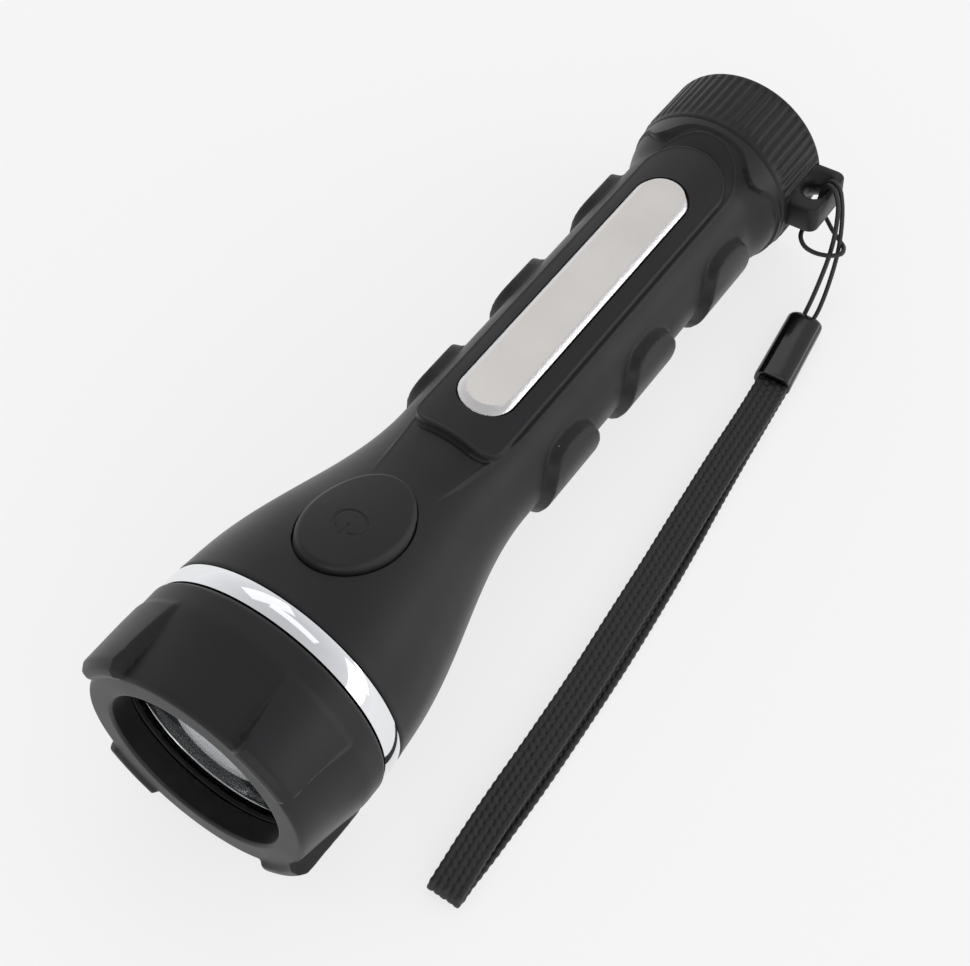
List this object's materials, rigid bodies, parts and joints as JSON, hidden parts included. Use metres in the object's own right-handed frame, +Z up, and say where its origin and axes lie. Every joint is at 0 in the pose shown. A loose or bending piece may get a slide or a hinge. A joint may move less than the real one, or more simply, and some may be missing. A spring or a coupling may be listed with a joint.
{
  "type": "flashlight",
  "caption": "Rubber-covered battery torch with a flared head, lugged screw bezel, push button, inlaid steel plate, finger lumps, ribbed tail cap and a looped wrist lanyard.",
  "frame": {"origin": "on the surface the torch lies on, under the middle of the torch's own box, lanyard left out", "axes": "+X the way the beam points, +Y the side of the lanyard lug, +Z up and the side of the button"},
  "size_m": [0.1922, 0.0721, 0.0523],
  "materials": {
    "rubber": "satin soft-touch moulding",
    "silicone": "matte",
    "clear": "clear polished window",
    "reflector_mirror": "metallised plastic",
    "emitter": "clear resin dome over a yellow chip",
    "board": "solder mask",
    "steel": "satin",
    "white_plastic": "moulded",
    "black_plastic": "moulded",
    "brass": "stamped",
    "wire": "insulation",
    "chrome": "polished",
    "cell": "plain sleeve",
    "braid": "woven nylon",
    "gloss_black": "gloss"
  },
  "bodies": {
    "torch_body": {"rubber_grip": "rubber", "barrel": "black_plastic", "chrome_ring": "chrome", "inlay_plate": "steel", "reflector": "reflector_mirror", "led_board": "board", "led_emitter": "emitter", "board_screw_1": "steel", "board_screw_2": "steel", "core_frame": "white_plastic", "front_contact": "brass", "positive_lead": "wire", "switch_lead": "wire", "switch_housing": "black_plastic", "switch_dome": "steel", "ground_strip": "brass", "cell_1": "cell", "cell_2": "cell", "bezel_o_ring": "silicone", "tail_o_ring": "silicone"},
    "button_pad": {"button": "rubber"},
    "plunger": {"switch_plunger": "white_plastic"},
    "window_carrier": {"lens": "clear", "lens_gasket": "silicone"},
    "bezel_ring": {"bezel": "rubber"},
    "spring_carrier": {"tail_spring": "steel", "tail_contact": "steel"},
    "cap_and_lanyard": {"tail_cap": "rubber", "lanyard_cord": "braid", "cord_ferrule": "gloss_black", "wrist_strap": "braid"}
  },
  "joints": [
    {"name": "button_press", "type": "slide", "parent": "torch_body", "child": "button_pad", "axis": [0.2572, 0, -0.9663], "range_m": [0, 0.0012], "stiffness_N_per_m": 800, "springref_m": -0.0003},
    {"name": "plunger_press", "type": "slide", "parent": "torch_body", "child": "plunger", "axis": [0.2572, 0, -0.9663], "range_m": [0, 0.0012]},
    {"name": "window_travel", "type": "slide", "parent": "torch_body", "child": "window_carrier", "axis": [0.9991, 0, 0.042], "range_m": [0, 0.0075]},
    {"name": "bezel_turn", "type": "hinge", "parent": "window_carrier", "child": "bezel_ring", "pos_m": [0.07451, 0, 0.02609], "axis": [0.9991, 0, 0.042], "range_deg": [0, 1080]},
    {"name": "tail_travel", "type": "slide", "parent": "torch_body", "child": "spring_carrier", "axis": [-0.9991, 0, -0.042], "range_m": [0, 0.009]},
    {"name": "tail_turn", "type": "hinge", "parent": "spring_carrier", "child": "cap_and_lanyard", "pos_m": [-0.07835, 0, 0.01966], "axis": [-0.9991, 0, -0.042], "range_deg": [0, 1080]}
  ],
  "couplings": [
    {"joint": "plunger_press", "follows": "button_press", "ratio": 1},
    {"joint": "window_travel", "follows": "bezel_turn", "m_per_rad": 0.0003978},
    {"joint": "tail_travel", "follows": "tail_turn", "m_per_rad": 0.0004774}
  ]
}
